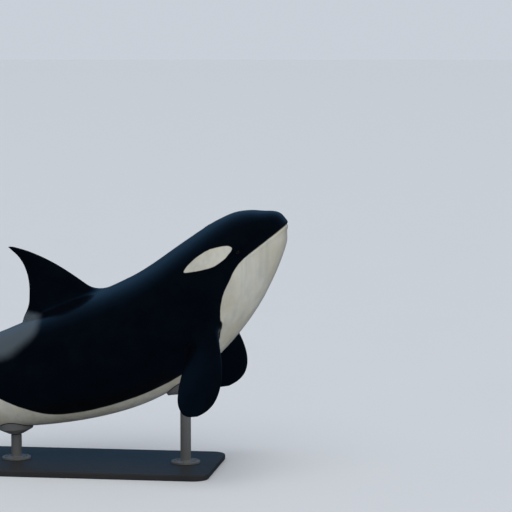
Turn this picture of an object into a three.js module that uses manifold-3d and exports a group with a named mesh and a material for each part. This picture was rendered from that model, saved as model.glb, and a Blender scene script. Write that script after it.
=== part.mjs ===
// A life-size orca, head up and tail low as it lunges, held by two short posts on a flat base.
// Millimetres, +Z up. The snout points along +X and the body is alike on both sides of the plane y = 0.
// The origin is the centre of the base's underside.

import * as THREE from "three";
import { mergeVertices } from "three/addons/utils/BufferGeometryUtils.js";
import Module from "manifold-3d";

const wasm = await Module();
wasm.setup();

// Driving sizes
const LENGTH = 6000; // snout to the rear edge of the flukes
const PERCENT = LENGTH / 100;
const GAP = 0.3; // free space between pieces that touch
const RINGS = 44; // sections along the body
const SIDES = 28; // points round each section
const BODY_END = 96.2; // station where the body runs out between the flukes

// Station along the body, height of back, depth of belly and half width, in percent of the length.
const BODY = [
  [0, 0, 0, 0],
  [0.25, 1.35, 0.7, 1.45],
  [1, 2.3, 1.75, 2.5],
  [2.25, 3.3, 3.25, 3.45],
  [4, 4.8, 4.5, 4.45],
  [6.25, 6.1, 5.8, 5.6],
  [9, 6.85, 7.1, 6.7],
  [12.25, 7.45, 8.3, 7.8],
  [16, 8.1, 9.2, 8.7],
  [20.25, 8.8, 9.8, 9.3],
  [25, 9.6, 10.1, 9.6],
  [30.25, 10.3, 10.2, 9.7],
  [36, 10.7, 10.2, 9.5],
  [42.25, 10.7, 9.8, 8.9],
  [49, 10.1, 9.1, 7.9],
  [56.25, 9.0, 8.1, 6.6],
  [64, 7.6, 6.9, 5.2],
  [72.25, 6.0, 5.5, 3.8],
  [81, 4.5, 4.2, 2.5],
  [88, 3.2, 3.0, 1.6],
  [93, 1.7, 1.6, 1.15],
  [BODY_END, 0.25, 0.25, 0.35],
];

// Station and nose-up pitch of the centreline there, in degrees.
const PITCH = [
  [0, 37],
  [8, 39.5],
  [16, 44],
  [23, 44],
  [30, 34],
  [38, 23],
  [55, 13],
  [75, 5],
  [95, 0],
];

// Station and fullness of the section: 2 is an ellipse, less has a keel above and below.
const FULLNESS = [
  [0, 2.1],
  [16, 2.1],
  [45, 2.05],
  [70, 1.85],
  [85, 1.65],
  [BODY_END, 1.7],
];

// Where the body is parted, as stations.
const NECK = 18.5;
const WAIST = 35.5;
const TAIL_ROOT = 68;

// Heights over the centreline at stations, in percent of the length.
const MOUTH = [
  [0, -0.8],
  [0.7, -0.98],
  [2, -1.08],
  [4, -1.12],
  [6, -1.13],
  [7.6, -1.13],
  [8.8, -1.17],
];
const JAW_HINGE = [12, -14]; // the jaw is parted from the throat along a line to here
// The white underside's edge runs from the mouth's corner to the tip of the flank lobe and back under it.
const WHITE_EDGE = [
  [8.8, -1.17],
  [10.1, -1.33],
  [11.5, -1.73],
  [13, -2.4],
  [15.2, -3.3],
  [17.5, -4.8],
  [20.5, -7.5],
  [24, -8.9],
  [30, -8.7],
  [38, -8.1],
  [45, -7.6],
  [50.5, -6.6],
  [55, -4.2],
  [60, -0.9],
  [66.8, 1.9],
];
const LOBE_REAR = [
  [66.8, 1.9],
  [65.4, 0.1],
  [62.6, -2.6],
  [61.2, -5.0],
  [63.5, -6.1],
  [TAIL_ROOT, -6.3],
];
const EYE_PATCH = [
  [9.3, 1.7],
  [9.75, 2.35],
  [10.95, 3.1],
  [12.4, 3.8],
  [14.3, 4.2],
  [16.3, 4.25],
  [17.65, 3.9],
  [16.8, 3.12],
  [15.2, 2.05],
  [13.4, 1.15],
  [11.6, 0.88],
  [10.2, 1.05],
  [9.45, 1.3],
];
const PATCH_DEPTH = 24;
const SADDLE = [
  [49.4, 14],
  [48.9, 8.8],
  [51, 6.6],
  [54.5, 5.2],
  [58.5, 5.0],
  [61.4, 6.8],
  [62, 14],
];

const EYE = { station: 9, height: 0.25, radius: 27, sunk: 17, lidRadius: 31, lidTube: 10, squash: 0.68 };
const BLOWHOLE = {
  station: 10.6,
  width: 120,
  bow: 36,
  slot: 15,
  depth: 30,
  rimHeight: 7,
  rimLength: 110,
};
const LIP = { radius: 17, offset: 15, sunk: 11, groove: 7, backFrom: 8.6 };

// Fins: share of the span, then the front and rear edge, in percent of the length; thickness in mm.
const DORSAL = {
  station: 45,
  height: 12.5,
  outline: [
    [-0.16, -9.0, 7.6],
    [0, -8.0, 6.6],
    [0.12, -6.6, 5.3],
    [0.3, -4.8, 4.3],
    [0.5, -2.7, 3.7],
    [0.68, -0.5, 3.7],
    [0.83, 1.7, 4.2],
    [0.94, 3.7, 5.0],
    [1, 5.5, 5.55],
  ],
  thickness: [
    [-0.16, 150],
    [0, 92],
    [0.15, 66],
    [0.5, 44],
    [1, 12],
  ],
};
const PECTORAL = {
  station: 22.6,
  height: -5.9,
  span: 15.5,
  outward: 0.62, // direction of the span: outward, back and down
  back: 0.5,
  down: 0.6,
  faceTilt: -8, // turn of the blade about its span, so that its flat faces out, degrees
  outline: [
    [-0.2, -2.4, 2.6],
    [0, -2.7, 2.8],
    [0.2, -3.2, 3.2],
    [0.42, -3.7, 3.9],
    [0.62, -3.8, 4.4],
    [0.78, -3.4, 4.4],
    [0.9, -2.5, 3.7],
    [0.97, -1.2, 2.7],
    [1, 0.7, 0.75],
  ],
  thickness: [
    [-0.2, 150],
    [0, 104],
    [0.2, 78],
    [0.6, 48],
    [1, 14],
  ],
};
const FLUKE = {
  station: 93,
  span: 13.6,
  droop: 62, // mm that the tip hangs below the root
  outline: [
    [0, -4.6, 4.4],
    [0.06, -4.0, 5.4],
    [0.16, -2.9, 6.5],
    [0.32, -1.1, 7.0],
    [0.5, 0.9, 7.0],
    [0.68, 3.0, 6.9],
    [0.83, 4.9, 6.9],
    [0.94, 6.2, 7.25],
    [1, 7.3, 7.35],
  ],
  thickness: [
    [0, 100],
    [0.16, 72],
    [0.5, 44],
    [1, 10],
  ],
};
const EDGE = 3; // half thickness that a fin keeps at its rear edge

const BASE = { length: 2700, width: 1400, thickness: 60, corner: 160, bevel: 8, underStation: 43 };
const CLEARANCE = 330; // from the base to the lowest point of the belly
const STANDS = { front: 31, rear: 58 }; // name and the station that it holds
const ROD_RADIUS = 55;
const FOOT = { radius: 150, height: 24, bevel: 6 };
const CRADLE = { radius: 180, rimDepth: 22, neck: 78, neckDepth: 74 };
const ROUND = 24; // sides of what is turned

// Smooth curve through [at, value, ...] rows, read at one place.
function smooth(rows, at, column = 1) {
  const last = rows.length - 1;
  const x = Math.min(Math.max(at, rows[0][0]), rows[last][0]);
  const slope = (k) => (rows[k + 1][column] - rows[k][column]) / (rows[k + 1][0] - rows[k][0]);
  const tangent = (k) => {
    if (k === 0) return slope(0);
    if (k === last) return slope(last - 1);
    const before = rows[k][0] - rows[k - 1][0];
    const after = rows[k + 1][0] - rows[k][0];
    return (slope(k - 1) * after + slope(k) * before) / (before + after);
  };
  let k = 0;
  while (k < last - 1 && x >= rows[k + 1][0]) k += 1;
  const wide = rows[k + 1][0] - rows[k][0];
  const t = (x - rows[k][0]) / wide;
  return (
    rows[k][column] * (1 + 2 * t) * (1 - t) ** 2 +
    tangent(k) * wide * t * (1 - t) ** 2 +
    rows[k + 1][column] * t * t * (3 - 2 * t) +
    tangent(k + 1) * wide * t * t * (t - 1)
  );
}

// The body table is read against the root of the station, which rounds the snout.
const ROOTED = BODY.map(([station, ...sizes]) => [Math.sqrt(station), ...sizes]);
function section(station) {
  const root = Math.sqrt(station);
  return {
    top: smooth(ROOTED, root, 1) * PERCENT,
    bottom: smooth(ROOTED, root, 2) * PERCENT,
    half: smooth(ROOTED, root, 3) * PERCENT,
    fullness: smooth(FULLNESS, station),
  };
}

// The centreline, from the snout back, by adding up short steps at the pitch of each.
const STEPS = 400;
const centreline = [new THREE.Vector2(0, 0)];
for (let i = 0; i < STEPS; i += 1) {
  const pitch = THREE.MathUtils.degToRad(smooth(PITCH, ((i + 0.5) * 100) / STEPS));
  const step = new THREE.Vector2(-Math.cos(pitch), -Math.sin(pitch)).multiplyScalar(LENGTH / STEPS);
  centreline.push(centreline[i].clone().add(step));
}

// Position in the side plane at a station and a height over the centreline, in mm.
function sidePlane(station, height) {
  const at = (Math.min(Math.max(station, 0), 100) / 100) * STEPS;
  const k = Math.min(Math.floor(at), STEPS - 1);
  const centre = centreline[k].clone().lerp(centreline[k + 1], at - k);
  const pitch = THREE.MathUtils.degToRad(smooth(PITCH, station));
  return new THREE.Vector3(
    snout.x + centre.x - Math.sin(pitch) * height,
    0,
    snout.z + centre.y + Math.cos(pitch) * height,
  );
}

// The snout stands where the base's centre comes under its station and the belly clears the base.
const snout = new THREE.Vector3(0, 0, 0);
const bellyHeights = BODY.slice(8, 20).map(([station]) => sidePlane(station, -section(station).bottom).z);
const lowestBelly = Math.min(...bellyHeights);
snout.set(-sidePlane(BASE.underStation, 0).x, 0, BASE.thickness + CLEARANCE - lowestBelly);

// Directions at a station: towards the snout, and up from the back.
function forwardAt(station) {
  const pitch = THREE.MathUtils.degToRad(smooth(PITCH, station));
  return new THREE.Vector3(Math.cos(pitch), 0, Math.sin(pitch));
}
function upAt(station) {
  const forward = forwardAt(station);
  return new THREE.Vector3(-forward.z, 0, forward.x);
}

// Point on the body's surface at a station and an angle round the section, 0 on the left side, 90 on the back.
function skin(station, angle, grow = 0) {
  const { top, bottom, half, fullness } = section(station);
  const across = Math.sign(Math.cos(angle)) * Math.abs(Math.cos(angle)) ** (2 / fullness);
  const over = Math.sign(Math.sin(angle)) * Math.abs(Math.sin(angle)) ** (2 / fullness);
  const point = sidePlane(station, over * ((over > 0 ? top : bottom) + grow));
  point.y = across * (half + grow);
  return point;
}

// Point on the side of the body at a height over the centreline; side is 1 on the left, -1 on the right.
function flank(station, height, side, grow = 0) {
  const { top, bottom, half, fullness } = section(station);
  const share = Math.min(Math.abs(height) / (height > 0 ? top : bottom), 1);
  const point = sidePlane(station, height);
  point.y = side * (half + grow) * (1 - share ** fullness) ** (1 / fullness);
  return point;
}

// The way that the skin faces there.
function outwardAt(station, height, side) {
  const step = 0.25;
  const lengthwise = flank(station + step, height, side).sub(flank(station - step, height, side));
  const [over, under] = [height + step * PERCENT, height - step * PERCENT];
  const upright = flank(station, over, side).sub(flank(station, under, side));
  const out = lengthwise.cross(upright).normalize();
  return out.y * side < 0 ? out.negate() : out;
}

// The way that the back or the belly faces at a station; angle is 90 degrees up or down in radians.
function ridgeNormal(station, angle) {
  const along = skin(station - 0.5, angle).sub(skin(station + 0.5, angle)).normalize();
  return new THREE.Vector3(-along.z, 0, along.x).multiplyScalar(Math.sign(angle));
}

// A closed solid from a geometry, facing out.
function solid(geometry) {
  const bare = geometry.index ? geometry.toNonIndexed() : geometry.clone();
  bare.deleteAttribute("normal");
  bare.deleteAttribute("uv");
  const merged = mergeVertices(bare, 1e-3);
  const corners = merged.index.array;
  const triangles = [];
  for (let i = 0; i < corners.length; i += 3) {
    const [a, b, c] = [corners[i], corners[i + 1], corners[i + 2]];
    if (a !== b && b !== c && c !== a) triangles.push(a, b, c);
  }
  const make = (list) =>
    new wasm.Manifold(
      new wasm.Mesh({
        numProp: 3,
        vertProperties: new Float32Array(merged.attributes.position.array),
        triVerts: new Uint32Array(list),
      }),
    );
  const made = make(triangles);
  if (made.volume() > 0) return made;
  return make(triangles.reverse());
}

// A closed loft through rings of points, its ends closed to the middle of the first and last ring.
// The second half of each ring is split the other way, so the two faces of a fin are split alike.
function loft(rings) {
  const count = rings[0].length;
  const points = rings.flat();
  const corner = (ring, k) => ring * count + (k % count);
  const triangles = [];
  for (let ring = 0; ring < rings.length - 1; ring += 1) {
    for (let k = 0; k < count; k += 1) {
      const [a, b] = [corner(ring, k), corner(ring + 1, k)];
      const [d, c] = [corner(ring, k + 1), corner(ring + 1, k + 1)];
      if (k < count / 2) triangles.push(a, b, c, a, c, d);
      else triangles.push(b, c, d, b, d, a);
    }
  }
  for (const ring of [0, rings.length - 1]) {
    const middle = new THREE.Vector3();
    rings[ring].forEach((p) => middle.addScaledVector(p, 1 / count));
    const hub = points.push(middle) - 1;
    for (let k = 0; k < count; k += 1) {
      const edge = [corner(ring, k), corner(ring, k + 1)];
      triangles.push(...(ring === 0 ? edge : edge.reverse()), hub);
    }
  }
  const geometry = new THREE.BufferGeometry().setFromPoints(points);
  geometry.setIndex(triangles);
  return solid(geometry);
}

// The whole body, grown outwards or inwards by a few millimetres.
function body(grow = 0) {
  const first = 0.22; // root of the first ring's station
  const last = Math.sqrt(BODY_END);
  const rings = [];
  for (let i = 0; i <= RINGS; i += 1) {
    const station = (first + ((last - first) * i) / RINGS) ** 2;
    const ring = [];
    for (let k = 0; k < SIDES; k += 1) ring.push(skin(station, (k / SIDES) * Math.PI * 2, grow));
    if (i === 0) ring.forEach((p) => p.addScaledVector(forwardAt(0), grow));
    if (i === RINGS) ring.forEach((p) => p.addScaledVector(forwardAt(100), -grow));
    rings.push(ring);
  }
  return loft(rings);
}

// Corners of a side view, from [station, height] rows.
function sideView(rows) {
  return rows.map(([station, height]) => {
    const p = sidePlane(station, height * PERCENT);
    return new THREE.Vector2(p.x, p.z);
  });
}

// The same along a smooth curve through the rows.
function curvedView(rows, points) {
  return new THREE.SplineCurve(sideView(rows)).getPoints(points);
}

// A prism right through the body with a side view of those corners, each edge moved out by a few millimetres.
function prism(corners, grow) {
  const turn = THREE.ShapeUtils.isClockWise(corners) ? -1 : 1;
  const outward = (from, to) => new THREE.Vector2(to.y - from.y, from.x - to.x).setLength(turn);
  const moved = corners.map((corner, k) => {
    const before = outward(corners[(k + corners.length - 1) % corners.length], corner);
    const after = outward(corner, corners[(k + 1) % corners.length]);
    const mitre = before.clone().add(after);
    return corner.clone().addScaledVector(mitre, grow / (1 + before.dot(after)));
  });
  const depth = LENGTH / 2;
  const outline = new THREE.Shape(moved);
  const geometry = new THREE.ExtrudeGeometry(outline, { depth, bevelEnabled: false });
  return solid(geometry.rotateX(Math.PI / 2).translate(0, depth / 2, 0));
}

// The part of a solid between two stations, parted with half a gap at each.
function between(whole, front, rear) {
  let kept = whole;
  for (const [station, sign] of [
    [front, -1],
    [rear, 1],
  ]) {
    if (station === null) continue;
    const normal = forwardAt(station).multiplyScalar(sign);
    const offset = normal.dot(sidePlane(station, 0)) + GAP / 2;
    kept = kept.trimByPlane(normal.toArray(), offset);
  }
  return kept;
}

// The largest closed surface of a solid.
function largest(whole) {
  return whole.decompose().sort((a, b) => b.volume() - a.volume())[0];
}

// A curve along the mouth, from one corner round the snout to the other, raised or sunk from the lip.
function mouthCurve(lift, sunk) {
  const side = [];
  const steps = 9;
  for (let i = 0; i <= steps; i += 1) {
    const station = 0.55 + (LIP.backFrom - 0.55) * (i / steps) ** 1.4;
    const height = smooth(MOUTH, station) * PERCENT + lift;
    side.push([station, height]);
  }
  const place = (which) => ([station, height]) =>
    flank(station, height, which).addScaledVector(outwardAt(station, height, which), -sunk);
  const tip = sidePlane(0.13, MOUTH[0][1] * PERCENT + lift).addScaledVector(forwardAt(0), -sunk);
  return new THREE.CatmullRomCurve3([...side.map(place(1)).reverse(), tip, ...side.map(place(-1))]);
}

// A round bar of even radius along a curve.
function bar(curve, radius, steps, sides) {
  const circle = new THREE.Shape(
    Array.from({ length: sides }, (_, k) => {
      const angle = (k / sides) * Math.PI * 2;
      return new THREE.Vector2(Math.cos(angle) * radius, Math.sin(angle) * radius);
    }),
  );
  return solid(new THREE.ExtrudeGeometry(circle, { steps, extrudePath: curve, bevelEnabled: false }));
}

// A solid set on the skin: its own z axis points outwards and its x axis towards the snout.
function setOn(geometry, place, outward, station) {
  const x = forwardAt(station);
  x.addScaledVector(outward, -x.dot(outward)).normalize();
  const y = outward.clone().cross(x);
  geometry.applyMatrix4(new THREE.Matrix4().makeBasis(x, y, outward).setPosition(place));
  return solid(geometry);
}

function setOnBack(geometry, station, lift) {
  const outward = ridgeNormal(station, Math.PI / 2);
  return setOn(geometry, skin(station, Math.PI / 2).addScaledVector(outward, lift), outward, station);
}

function eyeball(side, grow) {
  const place = flank(EYE.station, EYE.height * PERCENT, side);
  const outward = outwardAt(EYE.station, EYE.height * PERCENT, side);
  place.addScaledVector(outward, -EYE.sunk);
  return setOn(new THREE.SphereGeometry(EYE.radius + grow, 14, 8), place, outward, EYE.station);
}

function eyelids(side) {
  const place = flank(EYE.station, EYE.height * PERCENT, side);
  const outward = outwardAt(EYE.station, EYE.height * PERCENT, side);
  const ring = new THREE.TorusGeometry(EYE.lidRadius, EYE.lidTube, 6, 18);
  ring.scale(1, EYE.squash, 1);
  return setOn(ring, place.addScaledVector(outward, -EYE.lidTube * 0.35), outward, EYE.station);
}

// The blowhole is a crescent slot, its horns forwards, in a low mound.
function blowholeSlot() {
  const { width, bow, slot, depth } = BLOWHOLE;
  const crescent = new THREE.Shape();
  crescent.moveTo(0, -width / 2);
  crescent.quadraticCurveTo(-(bow - slot) * 2, 0, 0, width / 2);
  crescent.quadraticCurveTo(-bow * 2, 0, 0, -width / 2);
  const options = { depth: depth * 2, bevelEnabled: false, curveSegments: 8 };
  const geometry = new THREE.ExtrudeGeometry(crescent, options);
  geometry.translate(0, 0, -depth);
  return setOnBack(geometry, BLOWHOLE.station, 0);
}
function blowholeMound() {
  const { width, rimHeight, rimLength, station } = BLOWHOLE;
  const mound = new THREE.SphereGeometry(1, 16, 8).scale(rimLength, width * 0.85, rimHeight * 2);
  return setOnBack(mound, station, -rimHeight);
}

// One closed ring of a fin: a rounded front edge, a thin rear edge, and the widest part at a third.
function finRing(outline, thicknesses, share, place) {
  const [front, rear] = [smooth(outline, share, 1), smooth(outline, share, 2)];
  const thickness = smooth(thicknesses, share);
  const ring = [];
  const points = 16;
  for (let k = 0; k < points; k += 1) {
    const turn = (k / points) * Math.PI * 2;
    const x = (1 + Math.cos(turn)) / 2;
    const rounding = 2.969 * Math.sqrt(x);
    const taper = 1.26 * x + 3.516 * x ** 2 - 2.843 * x ** 3 + 1.036 * x ** 4;
    const swell = Math.max(rounding - taper, 0) * (thickness / 2);
    const face = Math.sign(Math.round(Math.sin(turn) * 1e6));
    ring.push(place(front + (rear - front) * x, face * swell + EDGE * Math.sin(turn)));
  }
  return ring;
}

// Shares of the span where a fin has its rings, closer together near the tip.
function finShares(first, count) {
  return Array.from({ length: count + 1 }, (_, i) => {
    const t = i / count;
    return first + (1 - first) * Math.sin((t * Math.PI) / 2);
  });
}

function dorsalFin() {
  const { station, height, outline, thickness } = DORSAL;
  const root = sidePlane(station, section(station).top);
  const back = forwardAt(station).negate();
  const up = upAt(station);
  return loft(
    finShares(outline[0][0], 11).map((share) =>
      finRing(outline, thickness, share, (along, out) =>
        root
          .clone()
          .addScaledVector(back, along * PERCENT)
          .addScaledVector(up, share * height * PERCENT)
          .add(new THREE.Vector3(0, out, 0)),
      ),
    ),
  );
}

function pectoralFin(side) {
  const { station, height, span, outline, thickness, outward, back, down, faceTilt } = PECTORAL;
  const root = flank(station, height * PERCENT, side);
  const rearward = forwardAt(station).negate();
  const spanway = rearward
    .clone()
    .multiplyScalar(back)
    .addScaledVector(upAt(station), -down)
    .add(new THREE.Vector3(0, side * outward, 0))
    .normalize();
  const chord = rearward.clone().addScaledVector(spanway, -rearward.dot(spanway)).normalize();
  chord.applyAxisAngle(spanway, THREE.MathUtils.degToRad(-faceTilt * side));
  const face = chord.clone().cross(spanway).normalize();
  return loft(
    finShares(outline[0][0], 11).map((share) =>
      finRing(outline, thickness, share, (along, out) =>
        root
          .clone()
          .addScaledVector(chord, along * PERCENT)
          .addScaledVector(spanway, share * span * PERCENT)
          .addScaledVector(face, out),
      ),
    ),
  );
}

function fluke(side) {
  const { station, span, droop, outline, thickness } = FLUKE;
  const root = sidePlane(station, 0);
  const back = forwardAt(station).negate();
  const up = upAt(station);
  return loft(
    finShares(0, 12).map((share) =>
      finRing(outline, thickness, share, (along, out) =>
        root
          .clone()
          .addScaledVector(back, along * PERCENT)
          .addScaledVector(up, out - droop * share ** 2)
          .add(new THREE.Vector3(0, side * (GAP / 2 + share * span * PERCENT), 0)),
      ),
    ),
  );
}

// An eye patch on one side.
function eyePatchCut(side, grow) {
  const corners = new THREE.SplineCurve(sideView([...EYE_PATCH, EYE_PATCH[0]])).getPoints(33).slice(0, -1);
  return prism(corners, grow).trimByPlane([0, side, 0], 0);
}

// Stand
function standBase() {
  const { length, width, thickness, corner, bevel } = BASE;
  const [x, y] = [length / 2 - bevel, width / 2 - bevel];
  const plate = new THREE.Shape();
  plate.moveTo(-x + corner, -y);
  plate.lineTo(x - corner, -y);
  plate.absarc(x - corner, -y + corner, corner, -Math.PI / 2, 0);
  plate.absarc(x - corner, y - corner, corner, 0, Math.PI / 2);
  plate.absarc(-x + corner, y - corner, corner, Math.PI / 2, Math.PI);
  plate.absarc(-x + corner, -y + corner, corner, Math.PI, Math.PI * 1.5);
  const geometry = new THREE.ExtrudeGeometry(plate, {
    depth: thickness - 2 * bevel,
    bevelThickness: bevel,
    bevelSize: bevel,
    bevelSegments: 1,
    curveSegments: 6,
  });
  return solid(geometry.translate(0, 0, bevel));
}

// A round piece about its own z axis, from [radius, height] rows.
function turned(profile) {
  const points = profile.map(([radius, z]) => new THREE.Vector2(radius, z));
  return new THREE.LatheGeometry(points, ROUND).rotateX(Math.PI / 2);
}

// A foot plate, an upright rod and a dish that follows the belly and faces it squarely.
function standPieces(station, clearOf) {
  const outward = ridgeNormal(station, -Math.PI / 2);
  const belly = skin(station, -Math.PI / 2);
  const neck = belly.clone().addScaledVector(outward, CRADLE.neckDepth);
  const dish = (grow) =>
    setOn(
      turned([
        [0, CRADLE.neckDepth + grow],
        [CRADLE.neck + grow, CRADLE.neckDepth + grow],
        [CRADLE.radius + grow, CRADLE.rimDepth + grow],
        [CRADLE.radius + grow, -CRADLE.radius],
        [0, -CRADLE.radius],
      ]),
      belly,
      outward,
      station,
    );
  const foot = BASE.thickness + GAP;
  const rod = foot + FOOT.height + GAP;
  const upright = (profile) => solid(turned(profile).translate(neck.x, 0, 0));
  return {
    foot: upright([
      [0, foot],
      [FOOT.radius, foot],
      [FOOT.radius, foot + FOOT.height - FOOT.bevel],
      [FOOT.radius - FOOT.bevel, foot + FOOT.height],
      [0, foot + FOOT.height],
    ]),
    rod: upright([
      [0, rod],
      [ROD_RADIUS, rod],
      [ROD_RADIUS, belly.z],
      [0, belly.z],
    ]).subtract(dish(GAP)),
    cradle: dish(0).subtract(clearOf),
  };
}

// Materials
const BLACK_SKIN = new THREE.MeshStandardMaterial({ color: 0x14161a, roughness: 0.3, metalness: 0 });
const WHITE_SKIN = new THREE.MeshStandardMaterial({ color: 0xd6d2c0, roughness: 0.35, metalness: 0 });
const GREY_SKIN = new THREE.MeshStandardMaterial({ color: 0x6a6f74, roughness: 0.35, metalness: 0 });
const WET_EYE = new THREE.MeshStandardMaterial({ color: 0x0c0a09, roughness: 0.08, metalness: 0 });
const BASE_PAINT = new THREE.MeshStandardMaterial({ color: 0x3c4045, roughness: 0.55, metalness: 0 });
const STEEL = new THREE.MeshStandardMaterial({ color: 0x9a9da0, roughness: 0.35, metalness: 1 });

const orca = new THREE.Group();
function add(name, made, material) {
  const { vertProperties, triVerts, numProp } = largest(made).getMesh();
  const geometry = new THREE.BufferGeometry();
  const positions = new THREE.InterleavedBuffer(vertProperties, numProp);
  geometry.setAttribute("position", new THREE.InterleavedBufferAttribute(positions, 3, 0));
  geometry.setIndex(new THREE.BufferAttribute(triVerts, 1));
  const flat = geometry.toNonIndexed();
  flat.computeVertexNormals();
  const mesh = new THREE.Mesh(flat, material);
  mesh.name = name;
  orca.add(mesh);
}

// The flesh, whole
const whole = body();
const clearBody = body(GAP);
const lips = bar(mouthCurve(LIP.offset, LIP.sunk), LIP.radius, 40, 6).add(
  bar(mouthCurve(-LIP.offset, LIP.sunk), LIP.radius * 0.9, 40, 6),
);
const lipGroove = bar(mouthCurve(0, 0), LIP.groove, 40, 4);
let front = whole.add(lips).subtract(lipGroove).add(blowholeMound()).subtract(blowholeSlot());
for (const side of [1, -1]) front = front.add(eyelids(side)).subtract(eyeball(side, GAP));
front = between(front, null, NECK);

// The jaw is parted along the mouth and down to the hinge, the white underside along its edge
const ahead = sideView([[0, MOUTH[0][1]]])[0].add(new THREE.Vector2(400, 300));
const below = sideView([[0, JAW_HINGE[1]]])[0].add(new THREE.Vector2(400, -100));
const jaw = [ahead, ...sideView(MOUTH), ...sideView([JAW_HINGE]), below];
const underside = [
  ...curvedView(WHITE_EDGE, 36).slice(0, -1),
  ...curvedView(LOBE_REAR, 14),
  ...sideView([[TAIL_ROOT, -16], [40, -18], [20, -18], [4, -18]]),
];
const jawPart = prism(jaw, -GAP / 2);
const jawRoom = prism(jaw, GAP / 2);
const whitePart = prism(underside, -GAP / 2);
const whiteRoom = prism(underside, GAP / 2);

add("lower_jaw", front.intersect(jawPart), WHITE_SKIN);
const skull = front.subtract(jawRoom);
add("throat", skull.intersect(whitePart), WHITE_SKIN);
let head = skull.subtract(whiteRoom);

// Eye patches let into the head
const core = body(-PATCH_DEPTH);
const coreClear = body(-PATCH_DEPTH - GAP);
for (const [name, side] of [
  ["left", 1],
  ["right", -1],
]) {
  add(`eye_patch_${name}`, whole.subtract(core).intersect(eyePatchCut(side, 0)), WHITE_SKIN);
  head = head.subtract(eyePatchCut(side, GAP).subtract(coreClear));
  add(`eye_${name}`, eyeball(side, 0), WET_EYE);
}
add("head", head, BLACK_SKIN);

const chest = between(whole, NECK, WAIST);
add("chest", chest.subtract(whiteRoom), BLACK_SKIN);
add("breast", chest.intersect(whitePart), WHITE_SKIN);

const midbody = between(whole, WAIST, TAIL_ROOT);
const saddle = curvedView(SADDLE, 20);
add("belly", midbody.intersect(whitePart), WHITE_SKIN);
add("saddle", midbody.intersect(prism(saddle, -GAP / 2)), GREY_SKIN);
add("midbody", midbody.subtract(whiteRoom).subtract(prism(saddle, GAP / 2)), BLACK_SKIN);
add("tail_stock", between(whole, TAIL_ROOT, null), BLACK_SKIN);

add("dorsal_fin", dorsalFin().subtract(clearBody), BLACK_SKIN);
for (const [name, side] of [
  ["left", 1],
  ["right", -1],
]) {
  add(`pectoral_fin_${name}`, pectoralFin(side).subtract(clearBody), BLACK_SKIN);
  add(`fluke_${name}`, fluke(side).subtract(clearBody), BLACK_SKIN);
}

add("stand_base", standBase(), BASE_PAINT);
for (const [name, station] of Object.entries(STANDS)) {
  const pieces = standPieces(station, clearBody);
  for (const [piece, made] of Object.entries(pieces)) add(`stand_${piece}_${name}`, made, STEEL);
}

export default orca;
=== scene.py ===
# A life-size orca for a museum hall: one wet, glossy skin with its markings, two eyes, and its stand.
import math

import bmesh
import bpy
import numpy as np
from mathutils import Matrix, Vector
from mathutils.bvhtree import BVHTree


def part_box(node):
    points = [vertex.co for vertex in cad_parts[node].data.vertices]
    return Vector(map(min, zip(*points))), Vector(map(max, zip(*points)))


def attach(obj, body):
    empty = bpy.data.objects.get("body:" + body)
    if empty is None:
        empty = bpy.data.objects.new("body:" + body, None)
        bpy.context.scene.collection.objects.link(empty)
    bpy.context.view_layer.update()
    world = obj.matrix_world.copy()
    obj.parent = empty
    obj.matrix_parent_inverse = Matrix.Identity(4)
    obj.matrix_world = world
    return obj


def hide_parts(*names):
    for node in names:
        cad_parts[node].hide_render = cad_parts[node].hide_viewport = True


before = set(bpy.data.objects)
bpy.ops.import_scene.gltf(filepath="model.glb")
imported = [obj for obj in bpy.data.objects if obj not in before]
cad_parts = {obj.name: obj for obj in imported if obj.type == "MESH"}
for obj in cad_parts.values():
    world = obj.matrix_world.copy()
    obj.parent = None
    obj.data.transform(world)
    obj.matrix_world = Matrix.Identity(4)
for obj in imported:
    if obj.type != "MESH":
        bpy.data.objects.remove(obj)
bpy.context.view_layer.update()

# The line of the back and belly. A whale lunges with its head raised and its tail low, so its spine
# curves up towards the snout. Sizes across the body are shares of its length, and each is read at a
# station that counts from the snout to the rear edge of the flukes.
LENGTH = 6.0
PERCENT = LENGTH / 100
BODY_END = 96.2
BODY = [  # station, height of back, depth of belly and half width, in percent of the length
    (0, 0, 0, 0),
    (0.25, 1.35, 0.7, 1.45),
    (1, 2.3, 1.75, 2.5),
    (2.25, 3.3, 3.25, 3.45),
    (4, 4.8, 4.5, 4.45),
    (6.25, 6.1, 5.8, 5.6),
    (9, 6.85, 7.1, 6.7),
    (12.25, 7.45, 8.3, 7.8),
    (16, 8.1, 9.2, 8.7),
    (20.25, 8.8, 9.8, 9.3),
    (25, 9.6, 10.1, 9.6),
    (30.25, 10.3, 10.2, 9.7),
    (36, 10.7, 10.2, 9.5),
    (42.25, 10.7, 9.8, 8.9),
    (49, 10.1, 9.1, 7.9),
    (56.25, 9.0, 8.1, 6.6),
    (64, 7.6, 6.9, 5.2),
    (72.25, 6.0, 5.5, 3.8),
    (81, 4.5, 4.2, 2.5),
    (88, 3.2, 3.0, 1.6),
    (93, 1.7, 1.6, 1.15),
    (BODY_END, 0.25, 0.25, 0.35),
]
# How far each station is turned nose up, and how full its section is: 2 is an ellipse.
PITCH = [(0, 37), (8, 39.5), (16, 44), (23, 44), (30, 34), (38, 23), (55, 13), (75, 5), (95, 0)]  # degrees
FULLNESS = [(0, 2.1), (16, 2.1), (45, 2.05), (70, 1.85), (85, 1.65), (BODY_END, 1.7)]
BELLY_CLEARANCE = 0.33  # from the base to the lowest point of the belly
CENTRE_STATION = 43  # stands over the middle of the base
LINE_STEPS = 2000  # in which the centreline is added up


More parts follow.
